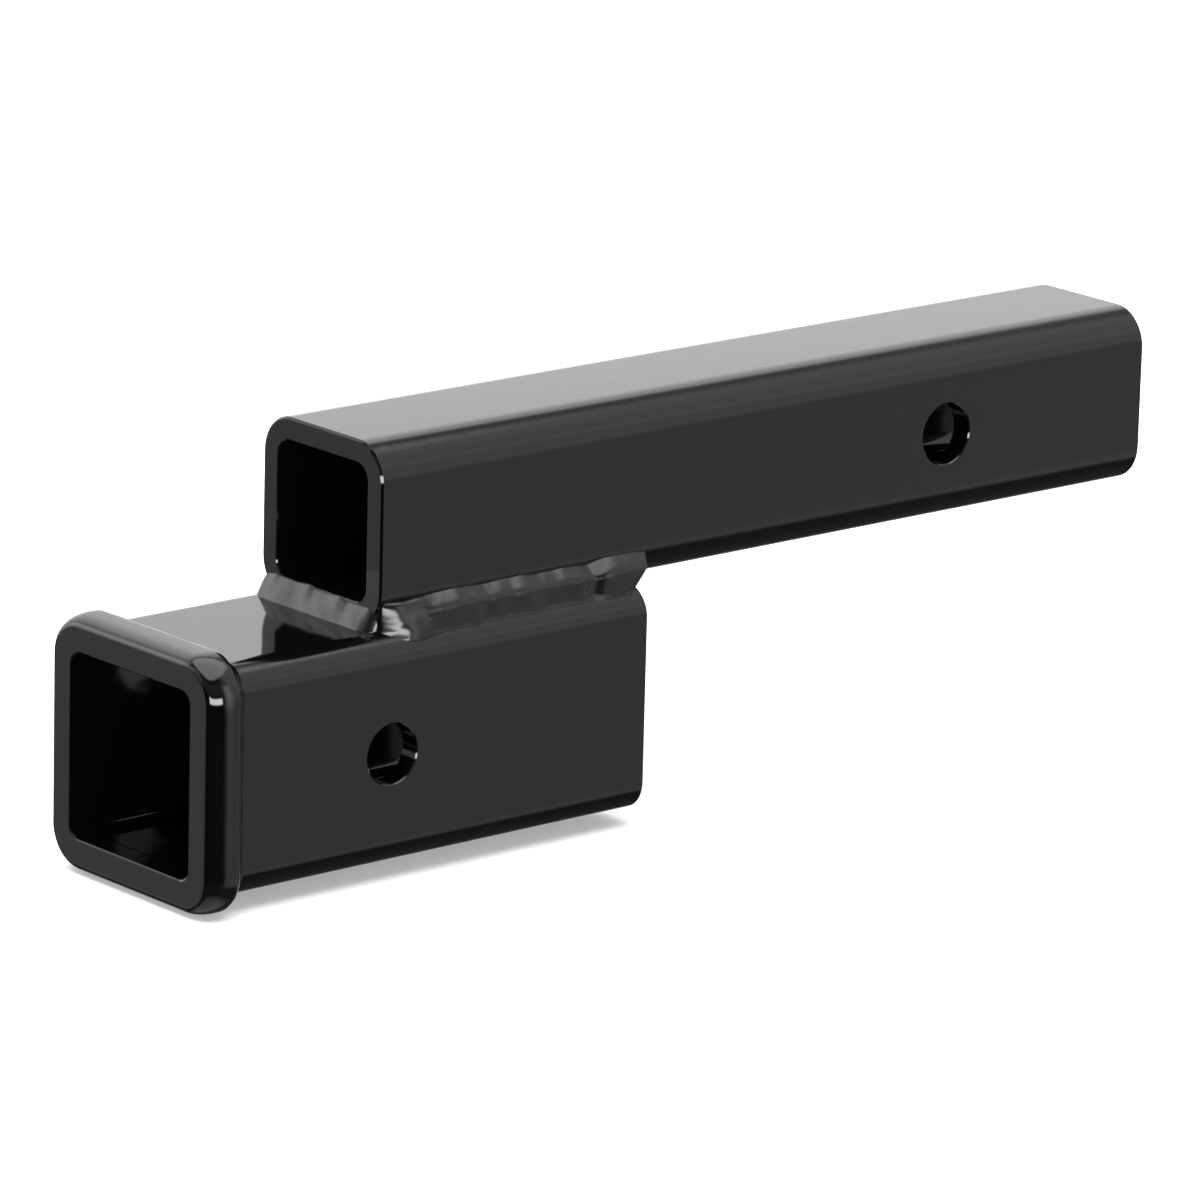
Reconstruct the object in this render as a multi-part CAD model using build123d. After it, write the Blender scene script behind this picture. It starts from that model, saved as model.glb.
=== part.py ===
"""Hitch receiver adapter: a square shank tube welded on top of a square receiver tube.

Sizes are in millimetres. The origin is the middle of the pin hole through the shank, where the
adapter is pinned into the vehicle. +X runs along the tubes, from the open mouth of the receiver
to the free end of the shank. +Y runs across them, along the pins, and +Z is up.
"""

from build123d import *
import os
from math import cos, hypot, pi, sin, sqrt

# Shank: the tube that slides into the vehicle's own receiver
shank_width = 50.8
shank_wall = 6.35
shank_corner_radius = 11.0
shank_length = 279.4
shank_pin_setback = 76.2
shank_pin_hole_diameter = 17.5

# Receiver: the larger tube below, which takes the shank of a rack or a ball mount
receiver_opening = 51.6
receiver_wall = 5.95
receiver_corner_radius = 8.5
receiver_length = 152.4
receiver_pin_setback = 63.5
receiver_pin_hole_diameter = 16.7

# How far the shank starts behind the receiver's mouth
shank_setback = 63.5

# Collar: the ring that stiffens the mouth
collar_depth = 7.0
collar_height = 4.0
collar_round_depth = 5.4
collar_face_margin = 0.45
collar_opening_corner_radius = 4.2
collar_weld_length = 6.8
collar_weld_shoulder_reach = 4.9
collar_weld_shoulder_drop = 2.2

# Broken edges
tube_edge_break = 0.6
mouth_edge_break = 0.35
bore_edge_break = 0.35
pin_hole_edge_break = 0.35
collar_joint_break = 0.4

# Weld runs between the two tubes: legs, how far the face stands proud, and their lobes
side_weld_height = 8.4
side_weld_reach = 3.0
side_weld_crown = 1.0
end_weld_height = 5.7
end_weld_reach = 5.2
end_weld_crown = 0.8
weld_root_gap = 0.4
side_weld_lobes = 7
end_weld_lobes = 4
end_weld_inset = 4.0
lobe_crest_share = 0.4
weld_ripple = 0.45
weld_end_drop = 1.3
weld_unevenness = 0.12
weld_height_unevenness = 0.48
lobe_length_beat = 2.4
lobe_height_beat = 1.7
left_weld_turn = 1.0
right_weld_turn = 2.0
corner_weld_radius = 4.3
corner_weld_inset = 4.5
corner_weld_rise = 0.8
corner_weld_bands = 6

# The two ends of a tube, as places in a list sorted along X
FRONT = 0
REAR = -1

# Places that follow from the sizes above
shank_rear_x = shank_pin_setback
shank_front_x = shank_rear_x - shank_length
mouth_x = shank_front_x - shank_setback
receiver_front_x = mouth_x + collar_depth
receiver_rear_x = mouth_x + receiver_length
receiver_pin_x = mouth_x + receiver_pin_setback

receiver_width = receiver_opening + 2 * receiver_wall
seam_z = -shank_width / 2
receiver_axis_z = seam_z - receiver_width / 2


def square_section(x, width, corner_radius, axis_z):
    """A square with rounded corners, standing across the tubes at x."""
    across = Plane(origin=(x, 0, axis_z), x_dir=(0, 1, 0), z_dir=(1, 0, 0))
    return across * RectangleRounded(width, width, corner_radius)


def square_bar(start_x, end_x, width, corner_radius, axis_z):
    """A filled square bar along X."""
    return extrude(square_section(start_x, width, corner_radius, axis_z), end_x - start_x)


def end_face(solid, end):
    """The face across one end of a solid, FRONT or REAR."""
    return solid.faces().sort_by(Axis.X)[end]


def break_end(bar, end):
    """The bar with the sharp edge taken off round one end face."""
    return chamfer(end_face(bar, end).outer_wire().edges(), tube_edge_break)


def break_bore(tube, end):
    """The tube with the edge of its bore chamfered at one end."""
    return chamfer(end_face(tube, end).inner_wires()[0].edges(), bore_edge_break)


def drill_pin_hole(tube, x, axis_z, diameter, width):
    """The tube with a hole for a pin along Y through both side walls, its outer edges broken."""
    drill = Pos(x, 0, axis_z) * Rot(90, 0, 0) * Cylinder(diameter / 2, 2 * width)
    drilled = tube - drill
    rims = [
        edge
        for edge in drilled.edges().filter_by(GeomType.CIRCLE)
        if abs(edge.radius - diameter / 2) < 1e-6 and abs(abs(edge.center().Y) - width / 2) < 1e-6
    ]
    return chamfer(rims, pin_hole_edge_break)


def make_shank_body():
    """The outside of the shank as a filled bar."""
    bar = square_bar(shank_front_x, shank_rear_x, shank_width, shank_corner_radius, 0)
    return break_end(break_end(bar, FRONT), REAR)


def make_shank(body):
    """The shank: an open tube with one pin hole."""
    bore_width = shank_width - 2 * shank_wall
    bore_corner_radius = shank_corner_radius - shank_wall
    bore = square_bar(shank_front_x, shank_rear_x, bore_width, bore_corner_radius, 0)
    tube = break_bore(break_bore(body - bore, FRONT), REAR)
    return drill_pin_hole(tube, 0, 0, shank_pin_hole_diameter, shank_width)


def make_receiver_body():
    """The outside of the receiver tube behind its collar, as a filled bar."""
    bar = square_bar(
        receiver_front_x, receiver_rear_x, receiver_width, receiver_corner_radius, receiver_axis_z
    )
    return break_end(bar, REAR)


def make_receiver(body):
    """The receiver tube, which butts against the collar in front and is open behind."""
    bore_corner_radius = receiver_corner_radius - receiver_wall
    bore = square_bar(
        receiver_front_x, receiver_rear_x, receiver_opening, bore_corner_radius, receiver_axis_z
    )
    tube = break_bore(body - bore, REAR)
    return drill_pin_hole(
        tube, receiver_pin_x, receiver_axis_z, receiver_pin_hole_diameter, receiver_width
    )


def sweep_round_mouth(outline):
    """A ring with the given section, carried round the outside of the receiver tube."""
    half_width = receiver_width / 2
    path = square_section(mouth_x, receiver_width, receiver_corner_radius, receiver_axis_z).wire()
    top = Plane(origin=(mouth_x, 0, receiver_axis_z + half_width), x_dir=(1, 0, 0), z_dir=(0, -1, 0))
    return sweep(top * make_face(outline), path=path)


def make_collar():
    """The collar: a ring in line with the tube's wall, flat in front and rounded outside."""
    crest = (collar_round_depth, collar_height)
    front_edge = (0, collar_face_margin)
    back_top = (collar_depth, collar_height)
    back_bottom = (collar_depth, -receiver_wall)
    front_bottom = (0, -receiver_wall)
    rounding = EllipticalCenterArc(
        (collar_round_depth, collar_face_margin),
        collar_round_depth,
        collar_height - collar_face_margin,
        start_angle=90,
        arc_size=90,
    )
    outline = Curve() + [
        rounding,
        Line(crest, back_top),
        Line(back_top, back_bottom),
        Line(back_bottom, front_bottom),
        Line(front_bottom, front_edge),
    ]
    ring = sweep_round_mouth(outline)
    infill = square_bar(
        mouth_x, receiver_front_x, receiver_opening + receiver_wall, receiver_wall, receiver_axis_z
    )
    opening = square_bar(
        mouth_x,
        receiver_front_x,
        receiver_opening,
        collar_opening_corner_radius,
        receiver_axis_z,
    )
    ring = ring + infill - opening
    ring = chamfer(end_face(ring, FRONT).inner_wires()[0].edges(), mouth_edge_break)
    return chamfer(end_face(ring, REAR).inner_wires()[0].edges(), collar_joint_break)


def make_collar_weld():
    """The smooth run of weld that fills the corner behind the collar."""
    top = (collar_depth, collar_height)
    shoulder = (
        collar_depth + collar_weld_shoulder_reach,
        collar_height - collar_weld_shoulder_drop,
    )
    toe = (collar_depth + collar_weld_length, 0)
    root = (collar_depth, 0)
    crown = TangentArc(top, shoulder, tangent=(1, 0))
    outline = Curve() + [crown, Line(shoulder, toe), Line(toe, root), Line(root, top)]
    return sweep_round_mouth(outline)


def circle_over(toe_a, toe_b, crown):
    """Centre and radius of the circle through two toes of a weld, whose face stands crown proud
    of the line between them. The face is on the left, going from toe_a to toe_b."""
    across = (toe_b[0] - toe_a[0], toe_b[1] - toe_a[1])
    chord = hypot(*across)
    outward = (-across[1] / chord, across[0] / chord)
    radius = chord**2 / (8 * crown) + crown / 2
    inset = radius - crown
    middle = ((toe_a[0] + toe_b[0]) / 2, (toe_a[1] + toe_b[1]) / 2)
    return (middle[0] - outward[0] * inset, middle[1] - outward[1] * inset), radius


def lobed_rod(start, direction, length, radius, lobes, turn):
    """A rod from start along direction whose outside is a row of lobes, as a run of weld sets.
    Their lengths and heights vary with a sine of their number times a beat, shifted by turn, and
    the run starts and stops lower."""
    valley = radius - weld_ripple / 2
    ends = [(length * i / lobes, valley) for i in range(lobes + 1)]
    for i in range(1, lobes):
        shift = weld_unevenness * length / lobes * sin(lobe_length_beat * i + turn)
        ends[i] = (ends[i][0] + shift, valley)
    ends[0] = (0, valley - weld_end_drop)
    ends[lobes] = (length, valley - weld_end_drop)
    profile = [(0, 0), ends[0]]
    for i, (lobe_start, lobe_end) in enumerate(zip(ends, ends[1:])):
        height = weld_ripple * (1 + weld_height_unevenness * sin(lobe_height_beat * i + turn))
        crest_x = lobe_start[0] + lobe_crest_share * (lobe_end[0] - lobe_start[0])
        profile += [(crest_x, valley + height), lobe_end]
    profile.append((length, 0))
    along = Plane(origin=start, x_dir=direction, z_dir=Vector(*direction).cross(Vector(0, 0, 1)))
    return revolve(along * make_face(Polyline(*profile, close=True)), Axis(start, direction))


def corner_mound(x, side):
    """The weld where it turns a corner of the joint, before the tubes are cut out of it: a ball
    turned in straight bands."""
    angles = [pi * (i / corner_weld_bands - 0.5) for i in range(1, corner_weld_bands)]
    rim = [(corner_weld_radius * cos(a), corner_weld_radius * sin(a)) for a in angles]
    outline = Polyline((0, -corner_weld_radius), *rim, (0, corner_weld_radius), close=True)
    mound = revolve(Plane.XZ * make_face(outline), Axis.Z)
    y = side * (shank_width / 2 - corner_weld_inset)
    return Pos(x, y, seam_z + corner_weld_rise) * mound


def corner_arc_drop(corner_radius, distance):
    """How far a rounded corner has fallen off at a distance past where its arc starts."""
    return corner_radius - sqrt(corner_radius**2 - distance**2)


def make_side_weld(turn, bodies):
    """The weld in the groove between the tubes on the +Y side, its lobes shifted by turn."""
    shank_flat = shank_width / 2 - shank_corner_radius
    receiver_flat = receiver_width / 2 - receiver_corner_radius
    shank_toe = (
        shank_width / 2 - corner_arc_drop(shank_corner_radius, shank_corner_radius - side_weld_height),
        seam_z + side_weld_height,
    )
    receiver_toe_y = shank_width / 2 + side_weld_reach
    receiver_toe = (
        receiver_toe_y,
        seam_z - corner_arc_drop(receiver_corner_radius, receiver_toe_y - receiver_flat),
    )
    (centre_y, centre_z), radius = circle_over(shank_toe, receiver_toe, side_weld_crown)
    start = (shank_front_x, centre_y, centre_z)
    length = receiver_rear_x - shank_front_x
    rod = lobed_rod(start, (1, 0, 0), length, radius, side_weld_lobes, turn)
    root_y = shank_flat + sqrt(shank_corner_radius**2 - (shank_corner_radius - weld_root_gap) ** 2)
    # Everything of the rod inside the groove's root, as far as its other side
    inner = Pos(start[0] + length / 2, root_y - 2 * radius, seam_z) * Box(
        2 * length, 4 * radius, 4 * radius
    )
    return rod - inner - bodies


def make_end_weld(x, outward, bodies, side_welds):
    """The weld across one end of the joint at x, where outward is the way along X that it faces.
    In front it climbs the shank's end from the receiver; behind it is upside down."""
    face_toe = (0, end_weld_height)
    flat_toe = (end_weld_reach, 0)
    (centre_out, centre_up), radius = circle_over(face_toe, flat_toe, end_weld_crown)
    upward = -outward
    start = (
        x + outward * centre_out,
        -(shank_width / 2 - end_weld_inset),
        seam_z + upward * centre_up,
    )
    length = shank_width - 2 * end_weld_inset
    rod = lobed_rod(start, (0, 1, 0), length, radius, end_weld_lobes, outward)
    beyond = Pos(x + outward * length, 0, seam_z) * Box(2 * length, 2 * length, 2 * length)
    weld = (rod & beyond) + corner_mound(x, -1) + corner_mound(x, 1)
    return weld - bodies - side_welds


shank_body = make_shank_body()
receiver_body = make_receiver_body()
bodies = [shank_body, receiver_body]
weld_right = mirror(make_side_weld(right_weld_turn, bodies), about=Plane.XZ)
weld_left = make_side_weld(left_weld_turn, bodies)
side_welds = [weld_right, weld_left]

nodes = {
    "shank_tube": make_shank(shank_body),
    "receiver_tube": make_receiver(receiver_body),
    "mouth_collar": make_collar(),
    "collar_weld": make_collar_weld(),
    "weld_front": make_end_weld(shank_front_x, -1, bodies, side_welds),
    "weld_right": weld_right,
    "weld_left": weld_left,
    "weld_rear": make_end_weld(receiver_rear_x, 1, bodies, side_welds),
}

os.makedirs("parts", exist_ok=True)
for name, piece in nodes.items():
    piece.label = name
    export_step(piece, f"parts/{name}.step")
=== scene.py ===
"""Look of a hitch receiver adapter: two square steel tubes welded together, under gloss black.

The two tubes are the frame's own solids with a coat on them. The collar round the mouth, together
with the weld behind it, and the four runs of weld between the tubes are new surfaces, worked out
below, which stand for the frame's plain ones. The frame is in metres, with +X from the mouth to
the shank's free end and +Z up. The surfaces are worked out in millimetres on the same axes.
"""

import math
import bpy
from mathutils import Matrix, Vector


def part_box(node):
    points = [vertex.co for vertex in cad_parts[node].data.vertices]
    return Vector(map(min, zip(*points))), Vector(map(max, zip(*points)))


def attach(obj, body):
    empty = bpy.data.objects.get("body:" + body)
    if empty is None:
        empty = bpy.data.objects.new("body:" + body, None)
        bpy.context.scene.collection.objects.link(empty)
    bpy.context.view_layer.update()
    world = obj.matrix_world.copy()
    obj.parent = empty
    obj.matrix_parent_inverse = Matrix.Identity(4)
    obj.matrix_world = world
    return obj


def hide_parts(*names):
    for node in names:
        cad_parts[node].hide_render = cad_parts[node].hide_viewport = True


bl_info = {
    "name": "Hitch receiver adapter",
    "version": (1, 0, 0),
    "blender": (4, 5, 0),
    "location": "3D View > Sidebar > Adapter",
    "description": "Coats the tubes and lays the welds of a hitch receiver adapter",
    "category": "Object",
}

from typing import NamedTuple

import bpy
import numpy as np
from bpy.props import FloatProperty, FloatVectorProperty, IntProperty, PointerProperty
from mathutils import Matrix, Vector

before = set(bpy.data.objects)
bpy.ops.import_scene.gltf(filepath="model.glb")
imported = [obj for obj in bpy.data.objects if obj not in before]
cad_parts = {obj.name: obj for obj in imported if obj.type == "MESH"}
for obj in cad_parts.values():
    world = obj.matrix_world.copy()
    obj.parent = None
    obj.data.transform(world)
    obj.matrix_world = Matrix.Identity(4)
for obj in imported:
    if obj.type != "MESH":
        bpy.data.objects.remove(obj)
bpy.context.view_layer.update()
MM = 0.001

# Places on the frame, in millimetres
SHANK_LOW = np.array(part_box("shank_tube")[0]) / MM
RECEIVER_LOW, RECEIVER_HIGH = (np.array(corner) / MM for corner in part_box("receiver_tube"))
COLLAR_LOW, COLLAR_HIGH = (np.array(corner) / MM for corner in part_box("mouth_collar"))
COLLAR_WELD_HIGH = np.array(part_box("collar_weld")[1]) / MM
FRONT_X = SHANK_LOW[0]
SEAM_Z = SHANK_LOW[2]
REAR_X = RECEIVER_HIGH[0]
RECEIVER_HALF = RECEIVER_HIGH[1]
RECEIVER_AXIS_Z = (RECEIVER_LOW[2] + RECEIVER_HIGH[2]) / 2

# Sizes of the receiver and its collar that their boxes don't give, in millimetres
RECEIVER_WALL = 5.95
RECEIVER_CORNER = 8.5
OPENING_CORNER = 4.2
FACE_MARGIN = 0.45
MOUTH_BREAK = 0.35
JOINT_BREAK = 0.4

# Collar: how its surface turns in under the tube, and how its face is kept flat, in millimetres
TOE_BACK = 0.6
TOE_SUNK = 0.7
REAR_SUNK = 1.0
MOUTH_GUARD = 0.15
FACE_GUARD = 0.2

# Collar: points along its section and round it, and how its weld runs out
ROLL_POINTS = 40
RUN_OUT_POINTS = 34
CORNER_POINTS = 18
SIDE_POINTS = 22
RUN_OUT_POWER = 1.35

# Collar's lumps: where behind the crest they start and are full, and how far before the end they
# stop, in millimetres
LUMPS_START = 0.3
LUMPS_FULL = 2.4
LUMPS_STOP = 0.7
COLLAR_LUMP_WAVES = 9

# Collar's lumps: the radius and the turn that make a distance of the way round and an angle of
# the depth, and the radius by whose share a lump widens the ring
AROUND_RADIUS = 38.0
TURN_PER_DEPTH = 0.5
OUTWARD_RADIUS = 120.0

# Edges that stay crisp, in degrees, and how near the solids' corners are joined, in metres
COLLAR_CRISP = 40.0
SOLID_CRISP = 32.0
SOLID_JOIN = 1e-6

# Lumps of all the welds: longest wave in millimetres, shortest as a share of it, and the lowest
# number of turns round a run and the one that it stays under
LUMP_LENGTH = 22.0
LUMP_SHORTEST = 0.3
LUMP_TURNS = (-2, 3)

# Weld runs: points round a run and along each side of its section, and waves of its lumps
ROUND_POINTS = 150
SECTION_POINTS = 12
RUN_LUMP_WAVES = 10

# Weld runs: how strongly rows gather at the ends, blur of the section in degrees, and blurs of
# the growth and the edge, step and margin of the line that is blurred, and length over which the
# end leans, in millimetres
GATHERING = 0.9
SECTION_BLUR = 3.5
GROWTH_BLUR = 0.8
EDGE_BLUR = 0.5
LINE_STEP = 0.1
LINE_MARGIN = 5.0
LEAN_LENGTH = 12.0

# The open side of a run, which can grow: its middle in degrees, and how far from there it is
# full and where it stops, in radians
OPEN_FACING = 30.0
OPEN_FULL = 0.8
OPEN_NONE = 1.5

# Sections of the runs: corners (out, up) from the run's line, in millimetres. A side run starts
# in front as a steep wall and becomes a slope over the distances below.
SIDE_WALL = (
    (3.0, -5.0), (6.0, -4.6), (5.65, -3.7), (5.45, -2.6), (5.5, -1.0), (5.3, 1.0), (4.8, 3.4),
    (4.2, 5.2), (3.5, 6.1), (2.4, 6.6), (0.4, 6.9), (-2.0, 4.0), (-3.6, 0.0), (-2.2, -3.0),
)
SIDE_SLOPE = (
    (2.4, -4.4), (5.2, -4.9), (5.9, -4.3), (5.5, -3.55), (5.2, -2.5), (5.35, -1.0), (5.65, 0.8),
    (5.9, 2.2), (5.7, 3.1), (4.9, 4.0), (3.5, 5.2), (2.0, 6.45), (0.0, 7.2), (-2.0, 4.0),
    (-3.6, 0.0), (-2.0, -2.9), (0.0, -3.6),
)
WALL_TO_SLOPE = (7.0, 19.0)
END_SECTION = (
    (3.9, -0.9), (3.45, -0.2), (2.4, 1.83), (1.4, 3.76), (0.6, 5.3), (0.3, 6.1), (-1.0, 5.6),
    (-2.6, 2.5), (-2.8, 0.0), (-2.4, -1.6), (0.0, -2.2), (2.5, -1.9),
)

# Growth of the runs: (distance from the start, growth) in millimetres
NEAR_GROWTH = (
    (0.0, -0.75), (3.6, -0.75), (7.6, -0.6), (16.0, -0.1), (21.0, 0.15), (30.5, 0.35),
    (34.5, -0.2), (49.0, 0.35), (54.0, -0.3), (63.0, 0.0), (68.0, -0.1), (71.5, -0.6),
    (75.5, 0.35), (79.0, 0.6), (91.2, 0.4),
)
FAR_GROWTH = (
    (0.0, -0.5), (9.0, -0.3), (20.0, 0.3), (24.0, -0.2), (40.0, 0.35), (45.0, -0.2),
    (60.0, 0.3), (65.0, -0.3), (80.0, 0.4), (91.0, 0.3),
)
END_GROWTH = (
    (0.0, 0.0), (9.0, 0.0), (15.0, 0.3), (23.0, 0.1), (28.0, 0.1), (35.0, 0.3), (42.0, 0.1),
    (53.0, 0.0),
)

# Upper edge of the runs: (distance from the start in millimetres, share of the height added)
LEVEL_EDGE = ((0.0, 0.0), (1.0, 0.0))
END_EDGE = (
    (0.0, 0.0), (8.0, 0.03), (11.0, 0.1), (13.5, 0.02), (20.0, 0.0), (25.5, 0.09), (28.0, 0.0),
    (34.0, -0.04), (38.5, 0.03), (42.0, -0.07), (53.0, 0.0),
)


class Swelling(NamedTuple):
    """A soft bump on a run: its height, place and width along the run in millimetres, and the
    way that it faces and its width round the run in degrees."""

    height: float = 0.0
    place: float = 0.0
    width: float = 1.0
    facing: float = 0.0
    spread: float = 30.0


class Ends(NamedTuple):
    """How a run closes at its start and its end: the distances over which it widens and rises,
    in millimetres, and the powers of that curve."""

    widening: tuple
    rising: tuple
    powers: tuple


# Side runs: how far the line is from the middle, above the seam and past the rear end, in
# millimetres, its rows of points, the share of its height that the end leans, and its ends
SIDE_LINE_Y = 23.0
SIDE_LINE_RISE = 1.9
SIDE_PAST_REAR = 0.7
SIDE_ROWS = 420
SIDE_LEAN = 0.75
SIDE_ENDS = Ends((7.5, 2.2), (1.4, 2.0), (0.5, 0.5))

# Side runs: side, node, start behind the shank's front end, growth and swelling
SIDE_RUNS = (
    (-1, "weld_right", 0.3, NEAR_GROWTH, Swelling(1.3, 11.0, 6.5, -30.0, 26.0)),
    (1, "weld_left", 1.4, FAR_GROWTH, Swelling(0.9, 68.0, 8.0, -25.0, 26.0)),
)

# End runs: how far the line lies inside the joint, where it ends on the near side, and where it
# drops round the receiver's far corner, in millimetres, its rows of points, and the share of the
# unevenness that it takes
END_INSET = 0.4
END_NEAR_Y = -24.0
END_DROP_PLACE = (21.5, 30.0)
END_ROWS = 280
END_CALM = 0.5

# End runs: the way that they face along X, their place, node, far end, drop and ends
END_RUNS = (
    (-1, FRONT_X, "weld_front", 29.4, 3.2, Ends((8.0, 5.0), (8.4, 3.6), (1.6, 0.5))),
    (1, REAR_X, "weld_rear", 24.5, 0.0, Ends((3.0, 3.0), (3.0, 3.0), (0.5, 0.5))),
)

# Light panels, by the direction that they stand in: heading from +X towards +Y, half width,
# lowest and highest elevation and softness of the edges, all in degrees, then the setting that
# gives the level, and the share of it. Panels that overlap add up.
PANELS = (
    # Behind the adapter: a wide panel, with more light in its upper middle
    (82.0, 50.0, -6.0, 50.0, 6.0, "back_panel", 1.0),
    (70.0, 26.0, 22.0, 48.0, 8.0, "back_panel", 0.4),
    # Behind it on the mouth's side, above and below the horizon
    (128.0, 18.0, 5.0, 30.0, 5.0, "back_panel", 1.0),
    (132.0, 20.0, -40.0, 2.0, 8.0, "side_panel", 0.85),
    # To the right of the camera: upright, above it, a weaker one behind both, and a narrow strip
    (-45.0, 22.0, -34.0, 30.0, 5.0, "side_panel", 1.0),
    (-25.0, 34.0, 28.0, 57.0, 7.0, "side_panel", 1.1),
    (-35.0, 36.0, 3.0, 57.0, 4.0, "side_panel", 0.6),
    (-66.0, 7.0, -14.0, 32.0, 5.0, "side_panel", 2.0),
    # To the left of the camera
    (158.0, 13.0, 10.0, 46.0, 7.0, "back_panel", 0.6),
    # Past the shank's free end, high and low
    (22.0, 16.0, 20.0, 57.0, 7.0, "side_panel", 0.8),
    (-6.0, 18.0, -30.0, 10.0, 7.0, "side_panel", 0.35),
    # The bright softbox below the camera, and a dim panel over it
    (-115.0, 34.0, -5.0, 8.5, 2.0, "softbox", 1.0),
    (-130.0, 60.0, 16.0, 44.0, 8.0, "side_panel", 0.35),
    # All round: low, straight above and straight below
    (0.0, 200.0, -100.0, -24.0, 8.0, "side_panel", 0.12),
    (0.0, 200.0, 54.0, 100.0, 4.0, "top_panel", 1.0),
    (0.0, 200.0, -100.0, -60.0, 8.0, "side_panel", 0.9),
    # Low behind the free end
    (38.0, 36.0, -32.0, -5.0, 6.0, "side_panel", 0.7),
)

# Floor and lamp, in metres, and the floor's own brightness to the camera
FLOOR_HALF = 8.0
FLOOR_GLOW = 0.3
LAMP_PLACE = (-0.1, 0.0, 1.9)
LAMP_WIDTH = 2.4

# Camera that matches the photograph: lens and sensor in millimetres, place in metres, and its
# turn in degrees about its own axis, then up from straight down, then about the upright
CAMERA_LENS = 236.0917
CAMERA_SENSOR = 36.0
CAMERA_PLACE = (-1.470328, -1.582557, 0.532729)
CAMERA_ROLL = 1.508270
CAMERA_TILT = 74.743961
CAMERA_HEADING = -40.794724


class CoatSettings(bpy.types.PropertyGroup):
    """Colour and surface of the coat on the tubes and the collar."""

    colour: FloatVectorProperty(
        name="Colour",
        description="Colour of the coat",
        subtype="COLOR",
        size=3,
        min=0.0,
        max=1.0,
        default=(0.0015, 0.0015, 0.0015),
    )
    roughness: FloatProperty(
        name="Roughness",
        description="Roughness of the coat",
        subtype="FACTOR",
        min=0.0,
        max=1.0,
        default=0.07,
    )
    patchiness: FloatProperty(
        name="Patchiness",
        description="How much rougher the dullest patches of the coat are",
        subtype="FACTOR",
        min=0.0,
        max=1.0,
        default=0.015,
    )
    ripple_size: FloatProperty(
        name="Ripple size",
        description="Width of the soft ripples in the coat",
        subtype="DISTANCE",
        unit="LENGTH",
        min=0.0005,
        max=0.05,
        default=0.006,
    )
    ripple_strength: FloatProperty(
        name="Ripple strength",
        description="How strongly the ripples bend reflections",
        subtype="FACTOR",
        min=0.0,
        max=1.0,
        default=0.006,
    )


class CollarSettings(bpy.types.PropertyGroup):
    """Roll of the collar round the mouth, and how it runs out onto the tube."""

    crest_depth: FloatProperty(
        name="Crest depth",
        description="How far behind the mouth the roll is highest",
        subtype="DISTANCE",
        unit="LENGTH",
        min=0.005,
        max=0.01,
        default=0.008,
    )
    fullness: FloatProperty(
        name="Fullness",
        description="2 makes the roll's front an ellipse, more makes it squarer",
        min=1.5,
        max=4.0,
        default=2.3,
    )
    unevenness: FloatProperty(
        name="Unevenness",
        description="How far the weld behind the crest wanders",
        subtype="DISTANCE",
        unit="LENGTH",
        min=0.0,
        max=0.001,
        default=0.00018,
    )
    seed: IntProperty(
        name="Seed",
        description="Number that sets the lumps of the weld behind the crest",
        min=0,
        default=3,
    )


class WeldSettings(bpy.types.PropertyGroup):
    """Shape and surface of the weld runs between the tubes."""

    unevenness: FloatProperty(
        name="Unevenness",
        description="Size of the soft lumps on a run",
        subtype="DISTANCE",
        unit="LENGTH",
        min=0.0,
        max=0.001,
        default=0.0001,
    )
    seed: IntProperty(
        name="Seed",
        description="Number that sets the soft lumps of the runs",
        min=0,
        default=7,
    )
    roughness: FloatProperty(
        name="Roughness",
        description="Roughness of the coat over the welds",
        subtype="FACTOR",
        min=0.0,
        max=1.0,
        default=0.17,
    )
    patchiness: FloatProperty(
        name="Patchiness",
        description="How much rougher the dullest patches over the welds are",
        subtype="FACTOR",
        min=0.0,
        max=1.0,
        default=0.06,
    )
    ripple_size: FloatProperty(
        name="Ripple size",
        description="Width of the soft ripples over the welds",
        subtype="DISTANCE",
        unit="LENGTH",
        min=0.0005,
        max=0.05,
        default=0.0035,
    )
    ripple_strength: FloatProperty(
        name="Ripple strength",
        description="How strongly the ripples bend reflections",
        subtype="FACTOR",
        min=0.0,
        max=1.0,
        default=0.03,
    )


class StageSettings(bpy.types.PropertyGroup):
    """Floor and light round the adapter."""

    floor_colour: FloatVectorProperty(
        name="Floor colour",
        description="Colour of the floor",
        subtype="COLOR",
        size=3,
        min=0.0,
        max=1.0,
        default=(0.8, 0.8, 0.8),
    )
    back_panel: FloatProperty(
        name="Back panel",
        description="Brightness of the panels behind the adapter",
        min=0.0,
        max=10.0,
        default=1.55,
    )
    side_panel: FloatProperty(
        name="Side panels",
        description="Brightness that the panels round the sides take their shares of",
        min=0.0,
        max=10.0,
        default=0.6,
    )
    softbox: FloatProperty(
        name="Softbox",
        description="Brightness of the low softbox below the camera",
        min=0.0,
        max=30.0,
        default=14.0,
    )
    top_panel: FloatProperty(
        name="Top panel",
        description="Brightness of the panel straight above the adapter",
        min=0.0,
        max=10.0,
        default=3.0,
    )
    overhead: FloatProperty(
        name="Overhead lamp",
        description="Power of the soft lamp overhead",
        subtype="POWER",
        unit="POWER",
        min=0.0,
        max=1000.0,
        default=42.0,
    )


def add_object(name, data):
    """A new object in the scene, at the origin."""
    thing = bpy.data.objects.new(name, data)
    bpy.context.scene.collection.objects.link(thing)
    return thing


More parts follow.
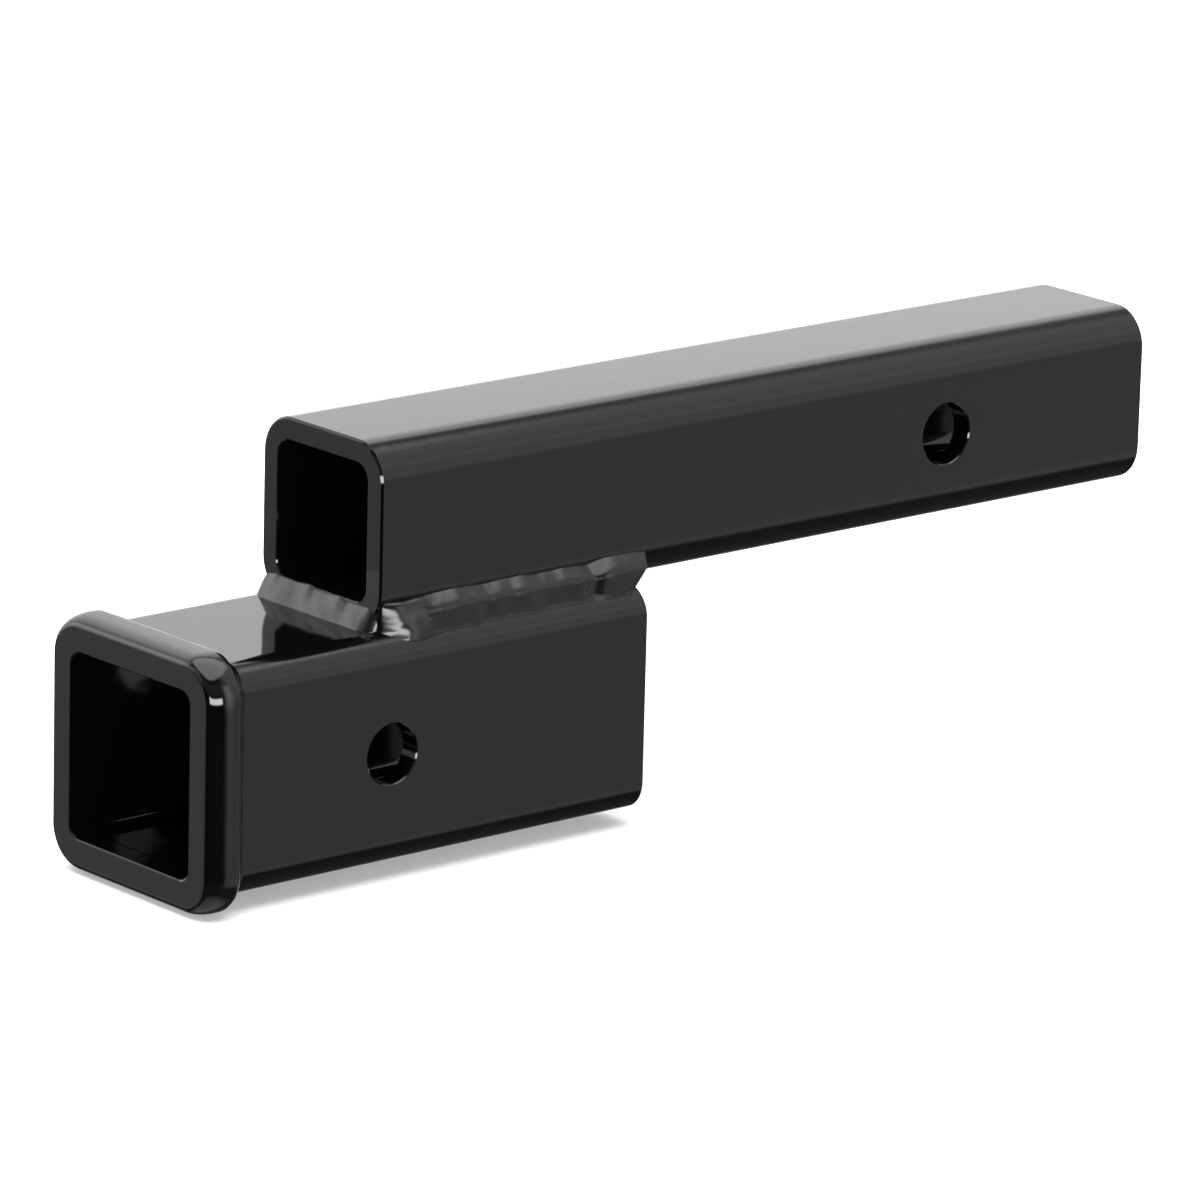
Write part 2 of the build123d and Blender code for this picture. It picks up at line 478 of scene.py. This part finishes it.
def grid_mesh(name, points, ring=False):
    """A closed mesh from points on a grid: rows along the run, columns round it.

    Each row joins the next with quads, and the last column joins the first. With ring, the last
    row joins the first too. Otherwise the first and last row are each closed with a fan to their
    middle.
    """
    rows, columns = points.shape[:2]
    count = rows if ring else rows - 1
    row, column = np.meshgrid(np.arange(count), np.arange(columns), indexing="ij")
    below, after = (row + 1) % rows, (column + 1) % columns
    faces = np.stack(
        [row * columns + column, below * columns + column,
         below * columns + after, row * columns + after],
        axis=-1,
    ).reshape(-1, 4).tolist()
    vertices = points.reshape(-1, 3)
    if not ring:
        middles = np.stack([points[0].mean(axis=0), points[-1].mean(axis=0)])
        vertices = np.concatenate([vertices, middles])
        edge = np.arange(columns)
        ahead = (edge + 1) % columns
        last = (rows - 1) * columns
        hub = np.full(columns, rows * columns)
        faces += np.stack([edge, ahead, hub], axis=-1).tolist()
        faces += np.stack([last + ahead, last + edge, hub + 1], axis=-1).tolist()
    mesh = bpy.data.meshes.new(name)
    mesh.from_pydata((vertices * MM).tolist(), [], faces)
    mesh.validate()
    outward(mesh)
    shade_smooth(mesh)
    return mesh


def outward(mesh):
    """Turns the mesh's faces outwards, if its signed volume says that they point in.

    The volume is the sum, over the triangles, of a corner dotted with the cross product of the
    other two.
    """
    mesh.calc_loop_triangles()
    corners = np.empty(len(mesh.vertices) * 3)
    mesh.vertices.foreach_get("co", corners)
    corners = corners.reshape(-1, 3)
    triangles = np.empty(len(mesh.loop_triangles) * 3, dtype=np.int32)
    mesh.loop_triangles.foreach_get("vertices", triangles)
    a, b, c = (corners[triangles.reshape(-1, 3)[:, i]] for i in range(3))
    if np.einsum("ij,ij->i", a, np.cross(b, c)).sum() < 0:
        mesh.flip_normals()


def shade_smooth(mesh):
    """Shades every face of the mesh smooth."""
    mesh.polygons.foreach_set("use_smooth", np.ones(len(mesh.polygons), dtype=bool))


def smooth_step(value, low, high):
    """0 below low, 1 above high, and 3t^2 - 2t^3 between."""
    t = np.clip((value - low) / (high - low), 0.0, 1.0)
    return t * t * (3.0 - 2.0 * t)


def section_radius(angles, corners):
    """Radius at each angle of a closed section, from its corners (out, up) round the middle.

    The section goes straight from corner to corner, and its radius is then smoothed round the
    circle by a Gaussian of SECTION_BLUR degrees.
    """
    corners = np.array(corners)
    share = np.linspace(0, 1, SECTION_POINTS, endpoint=False)[:, None, None]
    sides = corners + share * (np.roll(corners, -1, axis=0) - corners)
    out, up = sides.reshape(-1, 2).T
    radii = np.interp(angles, np.arctan2(up, out), np.hypot(out, up), period=2 * np.pi)
    waves = np.fft.rfft(radii)
    blur = np.arange(len(waves)) * math.radians(SECTION_BLUR)
    return np.fft.irfft(waves * np.exp(-0.5 * blur ** 2), len(angles))


def smooth_line(distance, knots, blur):
    """Value at each distance: straight from knot to knot, smoothed by a Gaussian of blur mm."""
    even = np.arange(-LINE_MARGIN, distance[-1] + LINE_MARGIN, LINE_STEP)
    reach = np.arange(-3 * blur, 3 * blur + LINE_STEP / 2, LINE_STEP)
    weight = np.exp(-0.5 * (reach / blur) ** 2)
    value = np.convolve(np.interp(even, *np.transpose(knots)), weight / weight.sum(), mode="same")
    return np.interp(distance, even, value)


def run_places(start, end, count):
    """Places from start to end, closest together near both ends: t - g sin(2 pi t) / (2 pi)."""
    t = np.linspace(0, 1, count)
    return start + (end - start) * (t - GATHERING * np.sin(2 * np.pi * t) / (2 * np.pi))


def end_closing(distance, depths, powers):
    """Share of the full section left near the two ends: (1 - (1 - t)^2)^power, t in depths."""
    near_start = np.clip(distance / depths[0], 0.0, 1.0)
    near_end = np.clip((distance[-1] - distance) / depths[1], 0.0, 1.0)
    return (1 - (1 - near_start) ** 2) ** powers[0] * (1 - (1 - near_end) ** 2) ** powers[1]


def soft_lumps(distance, angles, random, waves):
    """A sum of plane waves over the run and round it, each with a random length and phase."""
    total = np.zeros(np.broadcast(distance, angles).shape)
    for _ in range(waves):
        length = LUMP_LENGTH * random.uniform(LUMP_SHORTEST, 1.0)
        turns = random.integers(*LUMP_TURNS)
        phase = random.uniform(0, 2 * np.pi)
        total = total + np.sin(2 * np.pi * distance / length + turns * angles + phase)
    return total / math.sqrt(waves)


def off_facing(angles, facing):
    """How far each angle is off a facing given in degrees, from -pi to pi."""
    return (angles - math.radians(facing) + np.pi) % (2 * np.pi) - np.pi


def weld_run(name, line, sideways, up, section, growth, ends, unevenness, random,
             later=None, edge=LEVEL_EDGE, swelling=Swelling(), lean=0.0):
    """A run of weld round a line of points, as one closed surface.

    At distance s along the line and angle a from the sideways direction towards up, the surface
    stands off the line by T = R(s, a) + A(a) (G(s) + N(s, a)) + W(s, a). R is the section, which
    may go over into a later one, G is the growth along the run, N is soft lumps, A keeps both of
    these on the open side, and W is the swelling, a Gaussian along and round the run. The offsets
    T cos(a) sideways and T sin(a) up are each closed at the two ends. The edge E(s) makes the run
    higher by E times the square of sin(a), where that is above zero. Near its end the surface
    leans along the run by a share of its height.
    """
    step = np.linalg.norm(np.diff(line, axis=0), axis=1)
    distance = np.concatenate([[0.0], np.cumsum(step)])
    angles = np.linspace(0, 2 * np.pi, ROUND_POINTS, endpoint=False)
    s, a = distance[:, None], angles[None, :]
    radius = section_radius(angles, section)
    if later:
        change = smooth_step(s, *WALL_TO_SLOPE)
        radius = radius * (1 - change) + section_radius(angles, later) * change
    open_side = smooth_step(-np.abs(off_facing(a, OPEN_FACING)), -OPEN_NONE, -OPEN_FULL)
    lumps = soft_lumps(s, a, random, RUN_LUMP_WAVES)
    thicker = smooth_line(distance, growth, GROWTH_BLUR)[:, None]
    off = off_facing(a, swelling.facing) / math.radians(swelling.spread)
    swollen = swelling.height * np.exp(-((s - swelling.place) / swelling.width) ** 2 - off ** 2)
    reach = radius + open_side * (thicker + unevenness * lumps) + swollen
    out = reach * np.cos(a) * end_closing(distance, ends.widening, ends.powers)[:, None]
    higher = 1 + smooth_line(distance, edge, EDGE_BLUR)[:, None] * np.maximum(np.sin(a), 0) ** 2
    high = reach * np.sin(a) * higher * end_closing(distance, ends.rising, ends.powers)[:, None]
    along = (line[-1] - line[0]) / np.linalg.norm(line[-1] - line[0])
    leaning = lean * smooth_step(s, distance[-1] - LEAN_LENGTH, distance[-1]) * high
    points = (line[:, None, :] + out[..., None] * np.array(sideways)
              + high[..., None] * np.array(up) + leaning[..., None] * along)
    return add_object(name, grid_mesh(name, points))


def rounded_square(half_width, corner_radius):
    """Points round a square with rounded corners, for arrays of half widths and corner radii.

    Each corner is a quarter circle about a point one radius in from both sides. Between the
    corners the points go straight.
    """
    turn = np.linspace(0, np.pi / 2, CORNER_POINTS)
    share = np.linspace(0, 1, SIDE_POINTS + 2)[1:-1, None]
    inner = half_width - corner_radius
    arcs = []
    for quarter in range(4):
        angle = turn + quarter * np.pi / 2
        diagonal = (quarter + 0.5) * np.pi / 2
        middle = np.sign([math.cos(diagonal), math.sin(diagonal)]) * inner[..., None]
        round_part = np.stack([np.cos(angle), np.sin(angle)], axis=-1)
        arcs.append(middle[..., None, :] + corner_radius[..., None, None] * round_part)
    points = []
    for quarter, arc in enumerate(arcs):
        last = arc[..., -1:, :]
        following = arcs[(quarter + 1) % 4][..., :1, :]
        points += [arc, last + share * (following - last)]
    return np.concatenate(points, axis=-2)


def collar_points(settings, random):
    """The collar and the weld behind it, as one surface round the mouth.

    The section goes round in four parts: the flat front, a superellipse up to the crest, a half
    cosine of a power of t down to the tube, and back inside through the wall and the mouth's
    straight side. Soft lumps move the part behind the crest.
    """
    depth_end = COLLAR_WELD_HIGH[0] - COLLAR_LOW[0]
    collar_depth = COLLAR_HIGH[0] - COLLAR_LOW[0]
    height = COLLAR_HIGH[1] - RECEIVER_HALF
    crest, power = settings.crest_depth / MM, settings.fullness
    t = np.linspace(0, np.pi / 2, ROLL_POINTS)
    roll = np.stack([
        crest * (1 - np.cos(t) ** (2 / power)),
        FACE_MARGIN + (height - FACE_MARGIN) * np.sin(t) ** (2 / power),
    ], axis=1)
    t = np.linspace(0, 1, RUN_OUT_POINTS)[1:]
    run_out = np.stack([
        crest + (depth_end - crest) * t,
        height * (0.5 + 0.5 * np.cos(np.pi * t ** RUN_OUT_POWER)),
    ], axis=1)
    inside = np.array([
        [depth_end - TOE_BACK, -TOE_SUNK],
        [collar_depth, -REAR_SUNK],
        [collar_depth, JOINT_BREAK - RECEIVER_WALL],
        [collar_depth - JOINT_BREAK, -RECEIVER_WALL],
        [MOUTH_BREAK, -RECEIVER_WALL],
        [0.0, MOUTH_BREAK - RECEIVER_WALL],
        [0.0, MOUTH_BREAK - RECEIVER_WALL + MOUTH_GUARD],
        [0.0, -RECEIVER_WALL / 2],
        [0.0, FACE_MARGIN - FACE_GUARD],
    ])
    section = np.concatenate([roll, run_out, inside])
    depth, offset = section.T
    corner_radius = np.maximum(RECEIVER_CORNER + offset, OPENING_CORNER)
    ring = rounded_square(RECEIVER_HALF + offset, corner_radius)
    around = np.linspace(0, 2 * np.pi, ring.shape[1], endpoint=False) * AROUND_RADIUS
    turned = depth[:, None] * TURN_PER_DEPTH
    lumps = soft_lumps(around[None, :], turned, random, COLLAR_LUMP_WAVES)
    shown = (smooth_step(depth, crest + LUMPS_START, crest + LUMPS_FULL)
             * (1 - smooth_step(depth, depth_end - LUMPS_STOP, depth_end)) * (offset > 0))
    lumps = settings.unevenness / MM * lumps * shown[:, None]
    wider = 1 + lumps / OUTWARD_RADIUS
    points = np.stack([
        COLLAR_LOW[0] + depth[:, None] + lumps,
        ring[..., 0] * wider,
        RECEIVER_AXIS_Z + ring[..., 1] * wider,
    ], axis=-1)
    return points.transpose(1, 0, 2)


def node_group(name, inputs, outputs):
    """A new shader node group, from its inputs (name, kind, default) and the names of its
    float outputs."""
    group = bpy.data.node_groups.new(name, "ShaderNodeTree")
    for label, kind, default in inputs:
        socket = group.interface.new_socket(
            label, in_out="INPUT", socket_type="NodeSocket" + kind
        )
        socket.default_value = default
    for label in outputs:
        group.interface.new_socket(label, in_out="OUTPUT", socket_type="NodeSocketFloat")
    return group, group.nodes.new("NodeGroupInput"), group.nodes.new("NodeGroupOutput")


def math_node(tree, operation, *values):
    """Output of a new math node, whose inputs are numbers or other nodes' outputs."""
    node = tree.nodes.new("ShaderNodeMath")
    node.operation = operation
    for socket, value in zip(node.inputs, values):
        if isinstance(value, (int, float)):
            socket.default_value = value
        else:
            tree.links.new(value, socket)
    return node.outputs["Value"]


def coat_surface_group():
    """Surface of a sprayed gloss coat: soft ripples, and patches that shine a little less."""
    group, entry, leave = node_group(
        "coat_surface",
        (
            ("Ripples per metre", "Float", 160.0),
            ("Roughness", "Float", 0.12),
            ("Roughness spread", "Float", 0.04),
        ),
        ("Height", "Roughness"),
    )
    nodes, links = group.nodes, group.links
    place = nodes.new("ShaderNodeTexCoord")
    ripples = nodes.new("ShaderNodeTexNoise")
    ripples.inputs["Detail"].default_value = 1.5
    links.new(place.outputs["Object"], ripples.inputs["Vector"])
    links.new(entry.outputs["Ripples per metre"], ripples.inputs["Scale"])
    links.new(ripples.outputs["Fac"], leave.inputs["Height"])
    patches = nodes.new("ShaderNodeTexNoise")
    patches.inputs["Scale"].default_value = 35.0
    patches.inputs["Detail"].default_value = 3.0
    links.new(place.outputs["Object"], patches.inputs["Vector"])
    lowest, spread = entry.outputs["Roughness"], entry.outputs["Roughness spread"]
    patched = nodes.new("ShaderNodeMapRange")
    patched.inputs["From Min"].default_value = 0.3
    patched.inputs["From Max"].default_value = 0.7
    links.new(patches.outputs["Fac"], patched.inputs["Value"])
    links.new(lowest, patched.inputs["To Min"])
    links.new(math_node(group, "ADD", lowest, spread), patched.inputs["To Max"])
    links.new(patched.outputs["Result"], leave.inputs["Roughness"])
    return group


def coat_material(name, colour, finish):
    """A gloss coat: one colour, with the ripples and patches that the finish's settings give."""
    material = bpy.data.materials.new(name)
    material.use_nodes = True
    nodes, links = material.node_tree.nodes, material.node_tree.links
    shader = nodes["Principled BSDF"]
    shader.inputs["Base Color"].default_value = (*colour, 1.0)
    shader.inputs["Metallic"].default_value = 0.0
    shader.inputs["IOR"].default_value = 1.5
    surface = nodes.new("ShaderNodeGroup")
    surface.node_tree = bpy.data.node_groups.get("coat_surface") or coat_surface_group()
    surface.inputs["Ripples per metre"].default_value = 1.0 / finish.ripple_size
    surface.inputs["Roughness"].default_value = finish.roughness
    surface.inputs["Roughness spread"].default_value = finish.patchiness
    bump = nodes.new("ShaderNodeBump")
    bump.inputs["Strength"].default_value = finish.ripple_strength
    bump.inputs["Distance"].default_value = finish.ripple_size
    links.new(surface.outputs["Height"], bump.inputs["Height"])
    links.new(bump.outputs["Normal"], shader.inputs["Normal"])
    links.new(surface.outputs["Roughness"], shader.inputs["Roughness"])
    return material


def smooth_solid(node):
    """Shades one of the frame's solids smooth over its rounds and crisp at its edges."""
    shade_smooth(node.data)
    weld = node.modifiers.new("join", "WELD")
    weld.merge_threshold = SOLID_JOIN
    split = node.modifiers.new("edges", "EDGE_SPLIT")
    split.split_angle = math.radians(SOLID_CRISP)
    normals = node.modifiers.new("normals", "WEIGHTED_NORMAL")
    normals.mode = "FACE_AREA"
    normals.keep_sharp = True


def coat_node(node, material):
    """Gives one of the frame's solids the material."""
    smooth_solid(node)
    if not node.material_slots:
        node.data.materials.append(material)
    for place in node.material_slots:
        place.link = "OBJECT"
        place.material = material


def weld_material(context):
    """The coat as it lies over the welds, made once."""
    found = bpy.data.materials.get("weld_black")
    scene = context.scene
    return found or coat_material("weld_black", scene.adapter_coat.colour, scene.adapter_weld)


def finish_run(piece, node, material):
    """Gives a run of weld its coat, and puts it in place of the frame's plain run."""
    piece.data.materials.append(material)
    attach(piece, "root")
    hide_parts(node)


class CoatTubes(bpy.types.Operator):
    """Coat the shank and the receiver tube."""

    bl_idname = "adapter.coat_tubes"
    bl_label = "Coat the tubes"

    def execute(self, context):
        coat = context.scene.adapter_coat
        material = coat_material("tube_black", coat.colour, coat)
        for name in ("shank_tube", "receiver_tube"):
            coat_node(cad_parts[name], material)
        return {"FINISHED"}


class RollCollar(bpy.types.Operator):
    """Roll the collar round the mouth, with the weld behind it."""

    bl_idname = "adapter.roll_collar"
    bl_label = "Roll the collar"

    def execute(self, context):
        settings = context.scene.adapter_collar
        coat = context.scene.adapter_coat
        random = np.random.default_rng(settings.seed)
        mesh = grid_mesh("collar", collar_points(settings, random), ring=True)
        collar = add_object("collar", mesh)
        split = collar.modifiers.new("edges", "EDGE_SPLIT")
        split.split_angle = math.radians(COLLAR_CRISP)
        mesh.materials.append(coat_material("collar_black", coat.colour, coat))
        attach(collar, "root")
        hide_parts("mouth_collar", "collar_weld")
        return {"FINISHED"}


class LaySideWelds(bpy.types.Operator):
    """Lay the runs of weld in the grooves along both sides of the joint."""

    bl_idname = "adapter.lay_side_welds"
    bl_label = "Lay the side welds"

    def execute(self, context):
        settings = context.scene.adapter_weld
        material = weld_material(context)
        for shift, (side, node, start, growth, swelling) in enumerate(SIDE_RUNS):
            random = np.random.default_rng(settings.seed + shift)
            x = run_places(FRONT_X + start, REAR_X + SIDE_PAST_REAR, SIDE_ROWS)
            y = np.full_like(x, side * SIDE_LINE_Y)
            z = np.full_like(x, SEAM_Z + SIDE_LINE_RISE)
            piece = weld_run(
                "side_" + node, np.stack([x, y, z], 1), (0, side, 0), (0, 0, 1), SIDE_WALL,
                growth, SIDE_ENDS, settings.unevenness / MM, random,
                later=SIDE_SLOPE, swelling=swelling, lean=SIDE_LEAN,
            )
            finish_run(piece, node, material)
        return {"FINISHED"}


class LayEndWelds(bpy.types.Operator):
    """Lay the runs of weld across the shank's front end and the receiver's rear end."""

    bl_idname = "adapter.lay_end_welds"
    bl_label = "Lay the end welds"

    def execute(self, context):
        settings = context.scene.adapter_weld
        material = weld_material(context)
        unevenness = END_CALM * settings.unevenness / MM
        for shift, run in enumerate(END_RUNS, start=len(SIDE_RUNS)):
            way, end_x, node, far_y, drop, ends = run
            random = np.random.default_rng(settings.seed + shift)
            y = run_places(far_y, END_NEAR_Y, END_ROWS)
            x = np.full_like(y, end_x - way * END_INSET)
            z = SEAM_Z - way * END_INSET - drop * smooth_step(y, *END_DROP_PLACE)
            piece = weld_run(
                "end_" + node, np.stack([x, y, z], 1), (way, 0, 0), (0, 0, -way), END_SECTION,
                END_GROWTH, ends, unevenness, random, edge=END_EDGE,
            )
            finish_run(piece, node, material)
        return {"FINISHED"}


class SetStage(bpy.types.Operator):
    """Lay the floor and set the light and the camera."""

    bl_idname = "adapter.set_stage"
    bl_label = "Set the stage"

    def execute(self, context):
        settings = context.scene.adapter_stage
        lay_floor(settings.floor_colour)
        light_world(context.scene, settings)
        hang_lamp(settings.overhead)
        place_camera(context.scene)
        context.scene.view_settings.view_transform = "Standard"
        return {"FINISHED"}


def floor_material(colour):
    """A dull floor that only the camera sees a little brighter than it is lit."""
    material = bpy.data.materials.new("floor_pale")
    material.use_nodes = True
    tree = material.node_tree
    shader = tree.nodes["Principled BSDF"]
    shader.inputs["Base Color"].default_value = (*colour, 1.0)
    shader.inputs["Roughness"].default_value = 0.9
    shader.inputs["Specular IOR Level"].default_value = 0.0
    rays = tree.nodes.new("ShaderNodeLightPath")
    glow = tree.nodes.new("ShaderNodeEmission")
    glow.inputs["Color"].default_value = (1.0, 1.0, 1.0, 1.0)
    strength = math_node(tree, "MULTIPLY", rays.outputs["Is Camera Ray"], FLOOR_GLOW)
    tree.links.new(strength, glow.inputs["Strength"])
    both = tree.nodes.new("ShaderNodeAddShader")
    tree.links.new(shader.outputs["BSDF"], both.inputs[0])
    tree.links.new(glow.outputs["Emission"], both.inputs[1])
    tree.links.new(both.outputs["Shader"], tree.nodes["Material Output"].inputs["Surface"])
    return material


def lay_floor(colour):
    """A wide pale floor under the collar's lowest point, which gloss doesn't show."""
    low = COLLAR_LOW[2] * MM
    corners = [(-1, -1), (1, -1), (1, 1), (-1, 1)]
    mesh = bpy.data.meshes.new("floor")
    mesh.from_pydata([(x * FLOOR_HALF, y * FLOOR_HALF, low) for x, y in corners], [], [range(4)])
    mesh.materials.append(floor_material(colour))
    floor = add_object("floor", mesh)
    floor.visible_glossy = False


def light_panel_group():
    """A soft panel of light: 1 within its width and height as seen from the adapter, 0 outside.

    The azimuth off the panel's heading and the elevation, both in degrees, are each turned into a
    mask with soft edges, and the masks are multiplied.
    """
    angles = ("Heading", "Half width", "Low", "High", "Softness", "Level")
    group, entry, leave = node_group(
        "light_panel",
        (("Direction", "Vector", (0.0, 0.0, 1.0)), *((label, "Float", 0.0) for label in angles)),
        ("Light",),
    )
    nodes, links = group.nodes, group.links
    softness = entry.outputs["Softness"]

    def soft_edge(value, edge, rising):
        """0 to 1 over the softness on each side of the edge, or 1 to 0 when not rising."""
        node = nodes.new("ShaderNodeMapRange")
        node.interpolation_type = "SMOOTHSTEP"
        links.new(value, node.inputs["Value"])
        links.new(math_node(group, "SUBTRACT", edge, softness), node.inputs["From Min"])
        links.new(math_node(group, "ADD", edge, softness), node.inputs["From Max"])
        node.inputs["To Min"].default_value = 0.0 if rising else 1.0
        node.inputs["To Max"].default_value = 1.0 if rising else 0.0
        return node.outputs["Result"]

    parts = nodes.new("ShaderNodeSeparateXYZ")
    links.new(entry.outputs["Direction"], parts.inputs["Vector"])
    azimuth = math_node(group, "ARCTAN2", parts.outputs["Y"], parts.outputs["X"])
    azimuth = math_node(group, "DEGREES", azimuth)
    elevation = math_node(group, "ARCSINE", parts.outputs["Z"])
    elevation = math_node(group, "DEGREES", elevation)
    off = math_node(group, "SUBTRACT", azimuth, entry.outputs["Heading"])
    off = math_node(group, "ABSOLUTE", math_node(group, "WRAP", off, 180.0, -180.0))
    wide = soft_edge(off, entry.outputs["Half width"], False)
    above = soft_edge(elevation, entry.outputs["Low"], True)
    below = soft_edge(elevation, entry.outputs["High"], False)
    mask = math_node(group, "MULTIPLY", wide, math_node(group, "MULTIPLY", above, below))
    light = math_node(group, "MULTIPLY", mask, entry.outputs["Level"])
    links.new(light, leave.inputs["Light"])
    return group


def light_world(scene, settings):
    """Soft panels round the adapter, added up, and plain white to the camera."""
    world = bpy.data.worlds.new("studio")
    scene.world = world
    world.use_nodes = True
    tree = world.node_tree
    background = tree.nodes["Background"]
    background.inputs["Color"].default_value = (1.0, 1.0, 1.0, 1.0)
    place = tree.nodes.new("ShaderNodeTexCoord")
    group = light_panel_group()
    total = 0.0
    for heading, half_width, low, high, softness, source, share in PANELS:
        panel = tree.nodes.new("ShaderNodeGroup")
        panel.node_tree = group
        tree.links.new(place.outputs["Generated"], panel.inputs["Direction"])
        for label, value in (
            ("Heading", heading),
            ("Half width", half_width),
            ("Low", low),
            ("High", high),
            ("Softness", softness),
            ("Level", share * getattr(settings, source)),
        ):
            panel.inputs[label].default_value = value
        total = math_node(tree, "ADD", total, panel.outputs["Light"])
    rays = tree.nodes.new("ShaderNodeLightPath")
    seen = math_node(tree, "MAXIMUM", total, rays.outputs["Is Camera Ray"])
    tree.links.new(seen, background.inputs["Strength"])


def hang_lamp(power):
    """A square soft lamp straight above the adapter, shining down, which gloss doesn't show."""
    lamp = bpy.data.lights.new("overhead", "AREA")
    lamp.shape = "SQUARE"
    lamp.size = LAMP_WIDTH
    lamp.energy = power
    hung = add_object("overhead", lamp)
    hung.location = LAMP_PLACE
    hung.visible_glossy = False


def place_camera(scene):
    """A camera at the photograph's place, turn and lens."""
    data = bpy.data.cameras.new("camera")
    data.lens = CAMERA_LENS
    data.sensor_width = CAMERA_SENSOR
    data.clip_start = 0.1
    data.clip_end = 50.0
    camera = add_object("camera", data)
    camera.matrix_world = (
        Matrix.Translation(Vector(CAMERA_PLACE))
        @ Matrix.Rotation(math.radians(CAMERA_HEADING), 4, "Z")
        @ Matrix.Rotation(math.radians(CAMERA_TILT), 4, "X")
        @ Matrix.Rotation(math.radians(CAMERA_ROLL), 4, "Z")
    )
    scene.camera = camera


class AdapterPanel(bpy.types.Panel):
    """Lists the adapter's operators and settings."""

    bl_idname = "VIEW3D_PT_adapter"
    bl_label = "Hitch receiver adapter"
    bl_space_type = "VIEW_3D"
    bl_region_type = "UI"
    bl_category = "Adapter"

    def draw(self, context):
        for place, kind in SETTINGS.items():
            box = self.layout.box()
            for name in kind.__annotations__:
                box.prop(getattr(context.scene, place), name)
        for operator in OPERATORS:
            self.layout.operator(operator.bl_idname)


SETTINGS = {
    "adapter_coat": CoatSettings,
    "adapter_collar": CollarSettings,
    "adapter_weld": WeldSettings,
    "adapter_stage": StageSettings,
}
OPERATORS = (CoatTubes, RollCollar, LaySideWelds, LayEndWelds, SetStage)
CLASSES = (*SETTINGS.values(), *OPERATORS, AdapterPanel)


def register():
    """Registers the settings, the operators and the panel."""
    for kind in CLASSES:
        bpy.utils.register_class(kind)
    for place, kind in SETTINGS.items():
        setattr(bpy.types.Scene, place, PointerProperty(type=kind))


def unregister():
    """Removes what register added."""
    for place in SETTINGS:
        delattr(bpy.types.Scene, place)
    for kind in reversed(CLASSES):
        bpy.utils.unregister_class(kind)


def main():
    register()
    bpy.ops.adapter.coat_tubes()
    bpy.ops.adapter.roll_collar()
    bpy.ops.adapter.lay_side_welds()
    bpy.ops.adapter.lay_end_welds()
    bpy.ops.adapter.set_stage()


if __name__ == "__main__":
    main()
